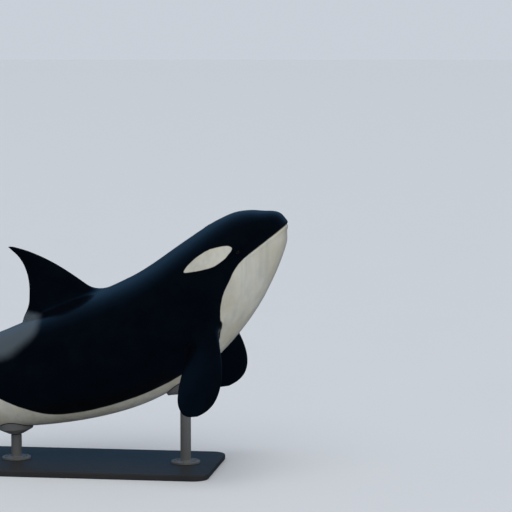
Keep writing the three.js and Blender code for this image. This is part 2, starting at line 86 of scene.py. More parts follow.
def smooth(rows, at, column=1):
    """The column of the rows read at a place, or at an array of them, along a smooth curve through them."""
    x = np.array([row[0] for row in rows], float)
    y = np.array([row[column] for row in rows], float)
    wide = np.diff(x)
    slope = np.diff(y) / wide
    tangent = np.concatenate(([slope[0]], np.zeros(len(x) - 2), [slope[-1]]))
    tangent[1:-1] = (slope[:-1] * wide[1:] + slope[1:] * wide[:-1]) / (wide[:-1] + wide[1:])
    at = np.clip(at, x[0], x[-1])
    k = np.clip(np.searchsorted(x, at, side="right") - 1, 0, len(x) - 2)
    t = (at - x[k]) / wide[k]
    rise = y[k] * (1 + 2 * t) * (1 - t) ** 2 + y[k + 1] * t * t * (3 - 2 * t)
    return rise + wide[k] * t * (1 - t) * (tangent[k] * (1 - t) - tangent[k + 1] * t)


ROOTED_BODY = [(math.sqrt(row[0]), *row[1:]) for row in BODY]  # read by the root, which rounds the snout


def section(station):
    """Height of the back, depth of the belly, half width and fullness at a station."""
    root = np.sqrt(np.clip(station, 0, BODY_END))
    sizes = [smooth(ROOTED_BODY, root, column) * PERCENT for column in (1, 2, 3)]
    return (*sizes, smooth(FULLNESS, station))


line_stations = np.linspace(0, 100, LINE_STEPS + 1)
line_pitch = np.radians(smooth(PITCH, line_stations))
middle_pitch = np.radians(smooth(PITCH, (line_stations[1:] + line_stations[:-1]) / 2))
line_x = np.concatenate(([0], np.cumsum(-np.cos(middle_pitch)))) * LENGTH / LINE_STEPS
line_z = np.concatenate(([0], np.cumsum(-np.sin(middle_pitch)))) * LENGTH / LINE_STEPS


def centre(station):
    """Place of the centreline in the side plane and its pitch, in radians."""
    along = (np.interp(station, line_stations, row) for row in (line_x, line_z, line_pitch))
    return tuple(along)


def side_plane(station, height):
    """Place in the plane y = 0 at a station and a height over the centreline."""
    x, z, pitch = centre(station)
    return np.stack([x - np.sin(pitch) * height, np.zeros_like(x), z + np.cos(pitch) * height], -1)


belly_line = side_plane(line_stations, -section(line_stations)[1])
line_x -= side_plane(CENTRE_STATION, 0)[0]
line_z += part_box("stand_base")[1].z + BELLY_CLEARANCE - belly_line[:, 2].min()
SNOUT = Vector(side_plane(0, 0))

# The camera stands where the photo was taken from: low, far off with a long lens, nearly square to the
# whale's right side and a little ahead of it. It looks slightly down, and the snout falls on the
# photo's pixel.
PHOTO_SIZE = 512
FOCAL_PIXELS = 2200
SNOUT_PIXEL = (285.6, 218.2)
HORIZON_PIXEL = 57
PIXELS_PER_METRE = 98.3  # at the snout
CAMERA_AZIMUTH = math.radians(8)
SENSOR_MM = 36
SEEN_TO = 5000

half_photo = PHOTO_SIZE / 2
look_down = math.atan((half_photo - HORIZON_PIXEL) / FOCAL_PIXELS)
level = Vector((-math.sin(CAMERA_AZIMUTH), math.cos(CAMERA_AZIMUTH), 0))
forward = level * math.cos(look_down) - Vector((0, 0, math.sin(look_down)))
right = Vector((level.y, -level.x, 0))
up = right.cross(forward)
sight = forward + right * (SNOUT_PIXEL[0] - half_photo) / FOCAL_PIXELS
sight -= up * (SNOUT_PIXEL[1] - half_photo) / FOCAL_PIXELS
camera_data = bpy.data.cameras.new("camera")
camera_data.sensor_width = SENSOR_MM
camera_data.lens = FOCAL_PIXELS / PHOTO_SIZE * SENSOR_MM
camera_data.clip_end = SEEN_TO
camera = bpy.data.objects.new("camera", camera_data)
camera.location = SNOUT - sight * FOCAL_PIXELS / PIXELS_PER_METRE
camera.rotation_euler = forward.to_track_quat("-Z", "Y").to_euler()
bpy.context.scene.collection.objects.link(camera)
bpy.context.scene.camera = camera

# The body under the skin is one smooth spindle of blubber and muscle. Its mesh is rings about the
# centreline, made finer where the mouth, the eyes, the blowhole, the roots of the fins and the edges of
# the markings need it.
RING_STEP = 0.38  # stations between rings, less near the snout
SNOUT_STEP = (0.02, 0.16)  # at the tip, and how it grows with the root of the station
AROUND = 144
FIRST_STATION = 0.0016
BODY_ENDS = (FIRST_STATION * 1.05, BODY_END - 0.01)  # points beyond them keep their places
HALVINGS = 26  # of the body's length, to find a station


def on_body(station, angle):
    """Point on the body at a station and an angle, 0 on the left side and a quarter turn on the back."""
    top, bottom, half, fullness = section(station)
    across, over = np.cos(angle), np.sin(angle)
    over = np.sign(over) * np.abs(over) ** (2 / fullness)
    point = side_plane(station, over * np.where(over > 0, top, bottom))
    point[..., 1] = np.sign(across) * np.abs(across) ** (2 / fullness) * half
    return point


def located(points):
    """Station of each point and its height over the centreline."""
    low, high = np.zeros(len(points)), np.full(len(points), 100.0)
    for _ in range(HALVINGS):
        station = (low + high) / 2
        x, z, pitch = centre(station)
        behind = (points[:, 0] - x) * np.cos(pitch) + (points[:, 2] - z) * np.sin(pitch) < 0
        low, high = np.where(behind, station, low), np.where(behind, high, station)
    x, z, pitch = centre(station)
    return station, (points[:, 2] - z) * np.cos(pitch) - (points[:, 0] - x) * np.sin(pitch)


def set_on_body(points):
    """The points moved square to the centreline until they lie on the body."""
    station, height = located(points)
    station = np.clip(station, FIRST_STATION, BODY_END)
    top, bottom, half, fullness = section(station)
    over = np.abs(height / np.where(height > 0, top, bottom))
    share = np.abs(points[:, 1] / half) ** fullness + over**fullness
    scale = np.maximum(share, 1e-6) ** (-1 / fullness)
    placed = side_plane(station, height * scale)
    placed[:, 1] = points[:, 1] * scale
    on_end = (station < BODY_ENDS[0]) | (station > BODY_ENDS[1])
    return np.where(on_end[:, None], points, placed)


def tube_mesh(rings, name):
    """A closed mesh through rings of points, with a hub in the middle of its first and last ring."""
    count = len(rings[0])
    points = [tuple(p) for ring in rings for p in ring]
    faces = []
    for k in range(len(rings) - 1):
        for j in range(count):
            here, beside = k * count + j, k * count + (j + 1) % count
            faces.append((here, here + count, beside + count, beside))
    for ring, turn in ((0, 1), (len(rings) - 1, -1)):
        points.append(tuple(np.mean(rings[ring], 0)))
        for j in range(count):
            edge = (ring * count + j, ring * count + (j + 1) % count)
            faces.append((*edge[::turn], len(points) - 1))
    mesh = bpy.data.meshes.new(name)
    mesh.from_pydata(points, [], faces)
    made = bmesh.new()
    made.from_mesh(mesh)
    bmesh.ops.recalc_face_normals(made, faces=made.faces)
    made.to_mesh(mesh)
    made.free()
    return mesh


stations = [FIRST_STATION]
while stations[-1] < BODY_END:
    ring_step = min(RING_STEP, SNOUT_STEP[0] + SNOUT_STEP[1] * math.sqrt(stations[-1]))
    stations.append(min(stations[-1] + ring_step, BODY_END))
turns = np.arange(AROUND) / AROUND * 2 * math.pi
body_mesh = tube_mesh([on_body(np.full(AROUND, s), turns) for s in stations], "body")

# The fins are stiff, smooth blades of dense tissue with a round front edge and a thin rear one. Their
# outlines are shares of the span with the front and rear edge there, in percent of the length, and
# their thickness is in metres.
FIN_SPANS = 64
FIN_AROUND = 88
EDGE = 0.003  # half thickness kept at the rear edge
WING_SECTION = [(0.5, 0.2969), (1, -0.126), (2, -0.3516), (3, 0.2843), (4, -0.1036)]  # powers of the chord
WING_SCALE = 10  # makes the thickest place of that section 1 thick


def fin_place(origin, chord, span_way, face, span):
    """A function that places a distance along the chord, a share of the span and a distance out."""
    chord, span_way, face = (np.array(way) for way in (chord, span_way, face))

    def place(along, share, out):
        return np.array(origin) + chord * along * PERCENT + span_way * share * span + face * out

    return place


def fin_mesh(outline, thickness, place, name, bend=0.0, paired=False):
    """A fin's closed mesh, rounded at its tip, which droops by bend. A paired fin runs from tip to tip."""
    first = outline[0][0]
    rows = [(math.asin((share - first) / (1 - first)), front, rear) for share, front, rear in outline]
    turns = list(np.linspace(0, math.pi / 2, FIN_SPANS)[:-1])
    rings = []
    for turn, side in ([(t, -1) for t in turns[:0:-1]] if paired else []) + [(t, 1) for t in turns]:
        share = first + (1 - first) * math.sin(turn)
        front, rear, thick = smooth(rows, turn, 1), smooth(rows, turn, 2), smooth(thickness, share)
        ring = []
        for j in range(FIN_AROUND):
            angle = j / FIN_AROUND * 2 * math.pi
            x = (1 + math.cos(angle)) / 2
            swell = WING_SCALE * sum(factor * x**power for power, factor in WING_SECTION)
            out = math.copysign(max(swell, 0) * thick / 2, math.sin(angle)) + EDGE * math.sin(angle)
            ring.append(place(front + (rear - front) * x, side * share, out - bend * share**2))
        rings.append(ring)
    return tube_mesh(rings, name)


# The back fin of a female is low and hooked, and stands on the middle of the back. It has no bone, only
# tough fibre under the skin.
DORSAL_STATION = 45
DORSAL_HEIGHT = 12.5 * PERCENT
DORSAL_OUTLINE = [
    (-0.16, -9.0, 7.6),
    (0, -8.0, 6.6),
    (0.12, -6.6, 5.3),
    (0.3, -4.8, 4.3),
    (0.5, -2.7, 3.7),
    (0.68, -0.5, 3.7),
    (0.83, 1.7, 4.2),
    (0.94, 3.7, 5.0),
    (1, 5.5, 5.55),
]
DORSAL_THICKNESS = [(-0.16, 0.15), (0, 0.092), (0.15, 0.066), (0.5, 0.044), (1, 0.012)]


def ways(station):
    """Directions back along the body and up from it at a station."""
    pitch = float(centre(station)[2])
    return Vector((-math.cos(pitch), 0, -math.sin(pitch))), Vector((-math.sin(pitch), 0, math.cos(pitch)))


rearward, upward = ways(DORSAL_STATION)
dorsal_root = side_plane(DORSAL_STATION, section(DORSAL_STATION)[0])
dorsal_place = fin_place(dorsal_root, rearward, upward, (0, 1, 0), DORSAL_HEIGHT)
fins = {"dorsal": fin_mesh(DORSAL_OUTLINE, DORSAL_THICKNESS, dorsal_place, "dorsal")}
fin_frames = {"dorsal": (dorsal_root, rearward, upward, DORSAL_HEIGHT, DORSAL_OUTLINE)}

# The side fins are broad rounded paddles set low behind the throat. They are spread for balance, out,
# down and back.
PECTORAL_STATION = 22.6
PECTORAL_HEIGHT = -5.9
PECTORAL_SPAN = 15.5 * PERCENT
PECTORAL_WAY = (0.5, 0.6, 0.62)  # back, down and outward
PECTORAL_TILT = math.radians(-8)
PECTORAL_OUTLINE = [
    (-0.2, -2.4, 2.6),
    (0, -2.7, 2.8),
    (0.2, -3.2, 3.2),
    (0.42, -3.7, 3.9),
    (0.62, -3.8, 4.4),
    (0.78, -3.4, 4.4),
    (0.9, -2.5, 3.7),
    (0.97, -1.2, 2.7),
    (1, 0.7, 0.75),
]
PECTORAL_THICKNESS = [(-0.2, 0.15), (0, 0.104), (0.2, 0.078), (0.6, 0.048), (1, 0.014)]


def on_flank(station, height, side):
    """Point on the side of the body at a station and a height; side is 1 on the left and -1 on the right."""
    top, bottom, half, fullness = section(station)
    share = min(abs(height) / (top if height > 0 else bottom), 1)
    point = side_plane(station, height)
    point[1] = side * half * (1 - share**fullness) ** (1 / fullness)
    return Vector(point)


for name, side in (("left", 1), ("right", -1)):
    rearward, upward = ways(PECTORAL_STATION)
    back, down, outward = PECTORAL_WAY
    span_way = (rearward * back - upward * down + Vector((0, side * outward, 0))).normalized()
    chord = (rearward - span_way * rearward.dot(span_way)).normalized()
    chord = chord * math.cos(PECTORAL_TILT) - span_way.cross(chord) * math.sin(PECTORAL_TILT) * side
    root = on_flank(PECTORAL_STATION, PECTORAL_HEIGHT * PERCENT, side)
    place = fin_place(root, chord, span_way, chord.cross(span_way), PECTORAL_SPAN)
    fins[f"pectoral_{name}"] = fin_mesh(PECTORAL_OUTLINE, PECTORAL_THICKNESS, place, f"pectoral_{name}")
    fin_frames[f"pectoral_{name}"] = (root, chord, span_way, PECTORAL_SPAN, PECTORAL_OUTLINE)

# The flukes lie flat across the end of the tail, with a notch between them and tips that hang a little.
# They are layers of tough fibre too, held by the last bones of the spine.
FLUKE_STATION = 93
FLUKE_SPAN = 13.6 * PERCENT
FLUKE_DROOP = 0.062
FLUKE_OUTLINE = [
    (0, -4.6, 4.4),
    (0.06, -4.0, 5.4),
    (0.16, -2.9, 6.5),
    (0.32, -1.1, 7.0),
    (0.5, 0.9, 7.0),
    (0.68, 3.0, 6.9),
    (0.83, 4.9, 6.9),
    (0.94, 6.2, 7.25),
    (1, 7.3, 7.35),
]
FLUKE_THICKNESS = [(0, 0.1), (0.16, 0.072), (0.5, 0.044), (1, 0.01)]

rearward, upward = ways(FLUKE_STATION)
fluke_root = side_plane(FLUKE_STATION, 0)
place = fin_place(fluke_root, rearward, (0, 1, 0), upward, FLUKE_SPAN)
fins["flukes"] = fin_mesh(FLUKE_OUTLINE, FLUKE_THICKNESS, place, "flukes", FLUKE_DROOP, paired=True)
fin_frames["flukes"] = (fluke_root, rearward, (0, 1, 0), FLUKE_SPAN, FLUKE_OUTLINE)


LEAST_CHORD = 0.1  # percent, at the very tip of a fin


def step(value, low, high):
    """0 below low, 1 above high, and smooth between."""
    t = np.clip((value - low) / (high - low), 0, 1)
    return t * t * (3 - 2 * t)


def chord_shares(points, name):
    """Shares of a fin's chord, 0 at the front and 1 at the rear, and of its span, and the chord there."""
    origin, chord_way, span_way, span, outline = fin_frames[name]
    from_root = np.asarray(points) - np.array(origin)
    share = from_root @ np.array(span_way) / span
    share = np.abs(share) if name == "flukes" else share
    front, rear = (smooth(outline, share, column) for column in (1, 2))
    wide = np.maximum(rear - front, LEAST_CHORD)
    return (from_root @ np.array(chord_way) / PERCENT - front) / wide, share, wide * PERCENT


# The head's openings. The line of the mouth runs from the snout to below the eye between two firm lips,
# the small eye sits in thick lids above its corner, and the blowhole is a crescent slit with its horns
# forwards.
MOUTH = [(0, -0.8), (0.7, -0.98), (2, -1.08), (4, -1.12), (6, -1.13), (7.6, -1.13), (8.8, -1.17)]
MOUTH_CORNER = 8.8
EYE_STATION = 9
EYE_HEIGHT = 0.25 * PERCENT
EYE_RADIUS = 0.027
EYE_SUNK = 0.017
BLOWHOLE_STATION = 10.6
BLOWHOLE_HALF_WIDTH = 0.06
BLOWHOLE_BOW = 0.036


def tree_of(mesh):
    """A search tree of a mesh's faces."""
    return BVHTree.FromPolygons([v.co for v in mesh.vertices], [p.vertices for p in mesh.polygons])


body_tree = tree_of(body_mesh)


def skin_axes(point, station):
    """Forward and up along the skin, and out from it, at a point on the body."""
    out = body_tree.find_nearest(point)[1].normalized()
    along = -ways(station)[0]
    along = (along - out * along.dot(out)).normalized()
    return along, out.cross(along) * (1 if out.cross(along).z > 0 else -1), out


eyes = {}
for name, side in (("left", 1), ("right", -1)):
    eye_point = on_flank(EYE_STATION, EYE_HEIGHT, side)
    eyes[name] = (eye_point, *skin_axes(eye_point, EYE_STATION))
blowhole_point = Vector(on_body(np.array(BLOWHOLE_STATION), np.array(math.pi / 2)))
blowhole_along, _, blowhole_out = skin_axes(blowhole_point, BLOWHOLE_STATION)

# The markings, as outlines in the side view: station and height in percent. The white of the chin runs
# back under the throat and belly to a lobe on each flank, a patch lies behind each eye, and a grey
# saddle behind the back fin.
WHITE_EDGE = [
    (8.8, -1.17),
    (10.1, -1.33),
    (11.5, -1.73),
    (13, -2.4),
    (15.2, -3.3),
    (17.5, -4.8),
    (20.5, -7.5),
    (24, -8.9),
    (30, -8.7),
    (38, -8.1),
    (45, -7.6),
    (50.5, -6.6),
    (55, -4.2),
    (60, -0.9),
    (66.8, 1.9),
]
LOBE_REAR = [(66.8, 1.9), (65.4, 0.1), (62.6, -2.6), (61.2, -5.0), (63.5, -6.1), (68, -6.3), (73, -5.9)]
EYE_PATCH = [
    (9.3, 1.7),
    (9.75, 2.35),
    (10.95, 3.1),
    (12.4, 3.8),
    (14.3, 4.2),
    (16.3, 4.25),
    (17.65, 3.9),
    (16.8, 3.12),
    (15.2, 2.05),
    (13.4, 1.15),
    (11.6, 0.88),
    (10.2, 1.05),
    (9.45, 1.3),
]
SADDLE = [(49.4, 14), (48.9, 8.8), (51, 6.6), (54.5, 5.2), (58.5, 5.0), (61.4, 6.8), (62, 14)]
CURVE_POINTS = 9  # on each stretch of an outline


def curved(rows, closed=False):
    """Points on a smooth curve through the rows, in metres."""
    points = np.array(rows, float) * PERCENT
    ends = (points[-1:], points[:2]) if closed else (points[:1], points[-1:])
    run = np.concatenate([ends[0], points, ends[1]])
    found = []
    for a, b, c, d in zip(run, run[1:], run[2:], run[3:]):
        t = np.arange(CURVE_POINTS)[:, None] / CURVE_POINTS
        start = 2 * b + (c - a) * t
        found.append(0.5 * (start + (2 * a - 5 * b + 4 * c - d) * t**2 + (3 * (b - c) + d - a) * t**3))
    return np.concatenate(found + ([] if closed else [points[-1:]]))


def inside(outline, points):
    """Distance in from the edge of a closed outline, less than zero outside it."""
    edges = np.concatenate([outline[1:], outline[:1]]) - outline
    nearest = np.full(len(points), np.inf)
    within = np.zeros(len(points), bool)
    for start, edge in zip(outline, edges):
        from_start = points - start
        t = np.clip(from_start @ edge / max(edge @ edge, 1e-12), 0, 1)
        nearest = np.minimum(nearest, np.linalg.norm(from_start - t[:, None] * edge, axis=1))
        crosses = (start[1] > points[:, 1]) != (start[1] + edge[1] > points[:, 1])
        rise = np.where(crosses, (points[:, 1] - start[1]) / np.where(edge[1] == 0, 1, edge[1]), 0)
        within ^= crosses & (points[:, 0] < start[0] + rise * edge[0])
    return np.where(within, nearest, -nearest)


under_side = np.array([(80, -5.5), (80, -20), (-3, -20), (-3, MOUTH[0][1])]) * PERCENT
white_outline = np.concatenate([curved(MOUTH)[:-1], curved(WHITE_EDGE)[:-1], curved(LOBE_REAR), under_side])
patch_outline = curved(EYE_PATCH, closed=True)
saddle_outline = curved(SADDLE)


def marking_fields(points):
    """Distance inside the white and inside the grey, in metres."""
    station, height = located(points)
    flat = np.stack([station * PERCENT, height], -1)
    white = np.maximum(inside(white_outline, flat), inside(patch_outline, flat))
    return white, inside(saddle_outline, flat)


# The mesh is divided where its faces are larger than each place needs, and set back on the smooth body
# each time.
COARSE = 0.03
FINE_PLACES = {  # size of the faces and how far round the place they reach
    "mouth": (0.004, 0.024),
    "eye": (0.0011, 0.04),
    "blowhole": (0.0045, 0.075),
    "edge": (0.007, 0.01),
    "fin": (0.011, 0.09),
}
GRADING = 0.35
ROUNDS = 5
FAR_FROM_FINS = 0.3
SLACK = 1.4  # how many times too long an edge may be

fin_trees = {name: tree_of(mesh) for name, mesh in fins.items()}


def mouth_distance(station, height):
    """Height over the line of the mouth, and large behind its corner."""
    over = height - smooth(MOUTH, station) * PERCENT
    return np.hypot(over, np.maximum(station - MOUTH_CORNER, 0) * PERCENT) * np.sign(over)


def distance_to_fins(point):
    """How far a point is from the nearest fin."""
    found = (tree.find_nearest(Vector(point), FAR_FROM_FINS)[3] for tree in fin_trees.values())
    return min((distance for distance in found if distance is not None), default=FAR_FROM_FINS)


def wanted_size(points):
    """How large a face may be at each point."""
    station, height = located(points)
    size = np.full(len(points), COARSE)

    def refine(distance, place):
        fine, reach = FINE_PLACES[place]
        np.minimum(size, fine + GRADING * np.maximum(distance - reach, 0), out=size)

    refine(np.abs(mouth_distance(station, height)), "mouth")
    for point, *_ in eyes.values():
        refine(np.linalg.norm(points - np.array(point), axis=1), "eye")
    refine(np.linalg.norm(points - np.array(blowhole_point), axis=1), "blowhole")
    refine(np.abs(marking_fields(points)[0]), "edge")
    refine(np.array([distance_to_fins(point) for point in points]), "fin")
    return size


made = bmesh.new()
made.from_mesh(body_mesh)
for _ in range(ROUNDS):
    made.faces.ensure_lookup_table()
    middles = np.array([face.calc_center_median() for face in made.faces])
    longest = np.array([max(edge.calc_length() for edge in face.edges) for face in made.faces])
    large = np.nonzero(longest > SLACK * wanted_size(middles))[0]
    if len(large) == 0:
        break
    edges = {edge for k in large for edge in made.faces[k].edges}
    bmesh.ops.subdivide_edges(made, edges=list(edges), cuts=1, use_grid_fill=True, use_single_edge=True)
    placed = set_on_body(np.array([vert.co for vert in made.verts]))
    for vert, place in zip(made.verts, placed):
        vert.co = place
made.to_mesh(body_mesh)
made.free()


# The skin is drawn over body and fins in one piece, and each fin grows out of the body in a smooth
# hollow curve.
FILLETS = {"dorsal": 0.12, "pectoral_left": 0.12, "pectoral_right": 0.12, "flukes": 0.1}
FILLET_STEPS = 5
FLATTEST_WAY = 0.25  # keeps a step short where body and fin face apart
RELAXINGS = 8
WELDINGS = 3
SHORTEST_EDGE = 0.003
THIN_FROM = 0.94  # share of the chord behind which a fin is too thin to be smoothed
THIN_FILLET = 0.12  # share of the hollow's width that is left at a fin's rear edge
FILLET_NARROWS = (0.55, 0.97)  # where on the chord it does so


def depth_and_way(tree, point, reach):
    """Distance out from a closed surface and the way out, or nothing where it is out of reach."""
    place, normal, _, distance = tree.find_nearest(point, reach)
    if place is None:
        return None
    return (distance if (point - place).dot(normal) >= 0 else -distance), normal


def filleted(point, fin_tree, width):
    """The point moved to the hollow curve between body and fin, or nothing where it lies outside it."""
    for _ in range(FILLET_STEPS):
        body_side = depth_and_way(body_tree, point, 2 * width)
        fin_side = depth_and_way(fin_tree, point, 2 * width)
        if body_side is None or fin_side is None:
            return None
        gap = fin_side[0] - body_side[0]
        if abs(gap) >= width:
            return None
        outside = min(body_side[0], fin_side[0]) - (width - abs(gap)) ** 2 / width / 4
        body_share = 0.5 + gap / width / 2
        way = body_side[1] * body_share + fin_side[1] * (1 - body_share)
        point = point - way * outside / max(way.length_squared, FLATTEST_WAY)
    return point


def weld_short_edges(made, group, shortest):
    """Joins the ends of edges that are too short, pair by pair."""
    for _ in range(WELDINGS):
        joined, onto = set(), {}
        short = [(e.calc_length(), e.index, e) for e in {e for v in group for e in v.link_edges}]
        for *_, edge in sorted(item for item in short if item[0] < shortest):
            if not joined & set(edge.verts):
                joined.update(edge.verts)
                onto[edge.verts[1]] = edge.verts[0]
        bmesh.ops.weld_verts(made, targetmap=onto)
        group = [vert for vert in group if vert.is_valid]


body_tree = tree_of(body_mesh)
skin = bpy.data.objects.new("skin", body_mesh)
bpy.context.scene.collection.objects.link(skin)
blades = [bpy.data.objects.new("blade", mesh) for mesh in fins.values()]
for blade in blades:
    bpy.context.scene.collection.objects.link(blade)
    joined = skin.modifiers.new("joined", "BOOLEAN")
    joined.operation = "UNION"
    joined.solver = "MANIFOLD"
    joined.object = blade
shown = skin.evaluated_get(bpy.context.evaluated_depsgraph_get())
skin_mesh = bpy.data.meshes.new_from_object(shown)
skin.modifiers.clear()
for blade in blades:
    bpy.data.objects.remove(blade)
skin.data = skin_mesh
skin_mesh.name = "skin"

made = bmesh.new()
made.from_mesh(skin_mesh)
made.edges.index_update()
bmesh.ops.triangulate(made, faces=[f for f in made.faces if len(f.verts) > 4])
for name, width in FILLETS.items():
    corners = np.array([v.co for v in fins[name].vertices])
    low, high = corners.min(0) - width, corners.max(0) + width
    verts = list(made.verts)
    places = np.array([v.co for v in verts])
    group = []
    for k in np.nonzero(np.all((places > low) & (places < high), axis=1))[0]:
        point = Vector(places[k])
        if depth_and_way(body_tree, point, width) and depth_and_way(fin_trees[name], point, width):
            group.append(verts[k])
    along, _, _ = chord_shares([v.co for v in group], name)
    thick = [vert for vert, share in zip(group, along) if share < THIN_FROM]
    weld_short_edges(made, thick, SHORTEST_EDGE)
    group = [vert for vert in group if vert.is_valid]
    for k in range(RELAXINGS + 1):
        along, _, _ = chord_shares([v.co for v in group], name)
        widths = width * (1 - (1 - THIN_FILLET) * step(along, *FILLET_NARROWS))
        moved = {}
        for vert, share, fillet in zip(group, along, widths):
            place = vert.co
            if k and share < THIN_FROM:
                around = [edge.other_vert(vert).co for edge in vert.link_edges]
                place = place.lerp(sum(around, Vector()) / len(around), 0.5)
            place = filleted(place, fin_trees[name], float(fillet))
            if place:
                moved[vert] = place
        for vert, place in moved.items():
            vert.co = place
        group = list(moved)
bmesh.ops.recalc_face_normals(made, faces=made.faces)
made.to_mesh(skin_mesh)
made.free()

# The head's fine forms are pressed into the skin: the groove of the mouth between its lips, the lids
# and the folds round each eye, the crescent slit of the blowhole on its low mound, and the folds of the
# belly's underside.
LIPS = [  # place over the line of the mouth, half width and height, in metres
    (0, 0.0042, -0.0085),
    (0.017, 0.013, 0.006),
    (-0.018, 0.014, 0.0065),
    (0.058, 0.03, -0.0025),
    (-0.062, 0.032, -0.003),
]
LIP_FADE = 0.08
LIPS_END = 12  # station
SAME_SIDE = 0.1  # how far out from a point on the skin its neighbours lie
LID_OPENING = (0.021, 0.0125)  # half length and half height
LID_CORNERS = 1.7  # 2 is an ellipse, less has sharper corners
LID_THICKNESS = 0.0012  # over the ball, which the lids lie on
LID_RIM = (1.2, 0.2, 0.003)
LID_SOFTNESS = 0.0015
LID_FOLDS = [(2.15, 0.2, -0.0022), (3.1, 0.25, -0.0012)]
FOLDS_FADE = (0.2, 0.9)  # towards the eye's corners
EYE_SWELLING = (3.4, 0.0035)
SOCKET_DEPTH = 0.014
SOCKET_WALL = (0.8, 1.0)
LIPS_LEFT = (1, 2.5)  # how far out from the opening the lids take over from the lips
EYE_REACH = 10
SLIT_HALF_WIDTH = 0.0065
SLIT_DEPTH = 0.028
SLIT_FLOOR = 0.35  # share of its width
RIM = (0.015, 0.009, 0.003)
MOUND = (0.16, 0.12, 0.004)
BELLY_FOLDS = [  # station of the middle, half length, distance from the midline, half width and depth
    (46.5, 0.05, 0, 0.016, -0.008),
    (66, 0.17, 0, 0.006, -0.012),
    (67.2, 0.045, 0.07, 0.005, -0.007),
]


def ridge(distance, half_width):
    """A smooth bump about 0."""
    return np.exp(-((distance / half_width) ** 2))


def from_point(points, axes):
    """Places along three directions from a point."""
    return tuple((points - np.array(axes[0])) @ np.array(way) for way in axes[1:])


count = len(skin_mesh.vertices)
points = np.empty(count * 3)
skin_mesh.vertices.foreach_get("co", points)
points = points.reshape(-1, 3)
normals = np.empty(count * 3, np.float32)
skin_mesh.vertex_normals.foreach_get("vector", normals)
normals = normals.reshape(-1, 3)
station, height = located(points)
raised = np.zeros(count)

over = mouth_distance(station, height)
shut = 1 - step((station - MOUTH_CORNER) * PERCENT, -LIP_FADE, LIP_FADE / 2)
for place, half_width, rise in LIPS:
    raised += np.where(station < LIPS_END, ridge(over - place, half_width) * rise * shut, 0)

for axes in eyes.values():
    along, above, out = from_point(points, axes)
    lengthwise, upright = np.abs(along / LID_OPENING[0]), np.abs(above / LID_OPENING[1])
    ring = (lengthwise**LID_CORNERS + upright**LID_CORNERS) ** (1 / LID_CORNERS)
    wide_ring = np.hypot(lengthwise, upright)
    ball = np.sqrt(np.maximum(EYE_RADIUS**2 - along**2 - above**2, 0)) - EYE_SUNK + LID_THICKNESS
    swelling = ridge(wide_ring, EYE_SWELLING[0]) * EYE_SWELLING[1]
    lids = (ball + swelling + np.hypot(ball - swelling, LID_SOFTNESS)) / 2
    lids += ridge(ring - LID_RIM[0], LID_RIM[1]) * LID_RIM[2]
    over_or_under = step(upright / np.maximum(wide_ring, 0.01), *FOLDS_FADE)
    for place, half_width, rise in LID_FOLDS:
        lids += ridge(wide_ring - place, half_width) * rise * over_or_under
    lids -= SOCKET_DEPTH * (1 - step(ring, *SOCKET_WALL))
    near_eye = (np.abs(out) < SAME_SIDE) & (wide_ring < EYE_REACH)
    raised = np.where(near_eye, raised * step(wide_ring, *LIPS_LEFT) + lids, raised)

slit_axes = (blowhole_point, blowhole_along, blowhole_out.cross(blowhole_along), blowhole_out)
along, across, out = from_point(points, slit_axes)
share = np.clip(1 - (across / BLOWHOLE_HALF_WIDTH) ** 2, 0, 1)
beyond = np.maximum(np.abs(across) - BLOWHOLE_HALF_WIDTH, 0)
from_slit = np.hypot(along + BLOWHOLE_BOW * share, beyond)
slit = -SLIT_DEPTH * (1 - step(from_slit, SLIT_FLOOR * SLIT_HALF_WIDTH, SLIT_HALF_WIDTH)) * np.sqrt(share)
rim = ridge(from_slit - RIM[0], RIM[1]) * RIM[2]
mound = ridge(np.hypot(along / MOUND[0], across / MOUND[1]), 1) * MOUND[2]
raised += np.where(np.abs(out) < SAME_SIDE, slit + rim + mound, 0)

for middle, half_length, aside, half_width, depth in BELLY_FOLDS:
    lengthwise = (station - middle) * PERCENT / half_length
    fold = ridge(np.abs(points[:, 1]) - aside, half_width) * ridge(lengthwise, 1) ** 2 * depth
    raised += np.where((height < 0) & (np.abs(lengthwise) < 2), fold, 0)

points += normals * raised[:, None]
skin_mesh.vertices.foreach_set("co", points.ravel())
skin_mesh.update()
skin_mesh.shade_smooth()

# The markings are carried on the skin as distances in from their edges, so that they stay sharp at any
# size.
SADDLE_ON_FIN = 1.6  # how soon the grey fades up the back fin
BLACK_ON_FIN = 0.018  # how far out from the body the black of a fin begins
ROUND_FIN = 0.03  # how far round a fin its black reaches
FLUKE_WHITE_CHORD = (0.08, 0.8)
FLUKE_WHITE_SPAN = (0.16, 0.95)
FLUKE_WHITE_FADE = 0.05
FLUKES_FROM = (85, 0.1)  # station and share of the span


def mark(name, values):
    """Keeps one number for each point of the skin."""
    layer = skin_mesh.attributes.new(name, "FLOAT", "POINT")
    layer.data.foreach_set("value", values.astype(np.float32))


white, grey = marking_fields(points)
chord_share, out_share, chord = chord_shares(points, "flukes")
under = -normals[:, 2] * FLUKE_WHITE_FADE
for shares, (low, high), size in (
    (chord_share, FLUKE_WHITE_CHORD, chord),
    (out_share, FLUKE_WHITE_SPAN, FLUKE_SPAN),
):
    under = np.minimum(under, np.minimum(shares - low, high - shares) * size)
on_flukes = (station > FLUKES_FROM[0]) & (out_share > FLUKES_FROM[1])
white = np.where(on_flukes, np.maximum(white, under), white)
for name in ("pectoral_left", "pectoral_right", "dorsal"):
    corners = np.array([v.co for v in fins[name].vertices])
    low, high = corners.min(0) - ROUND_FIN, corners.max(0) + ROUND_FIN
    boxed = np.all((points > low) & (points < high), axis=1)
    for k in np.nonzero(boxed)[0]:
        away = depth_and_way(body_tree, Vector(points[k]), 1)
        above_skin = 1 if away is None else away[0]
        white[k] = min(white[k], BLACK_ON_FIN - above_skin)
        grey[k] -= SADDLE_ON_FIN * max(above_skin, 0)
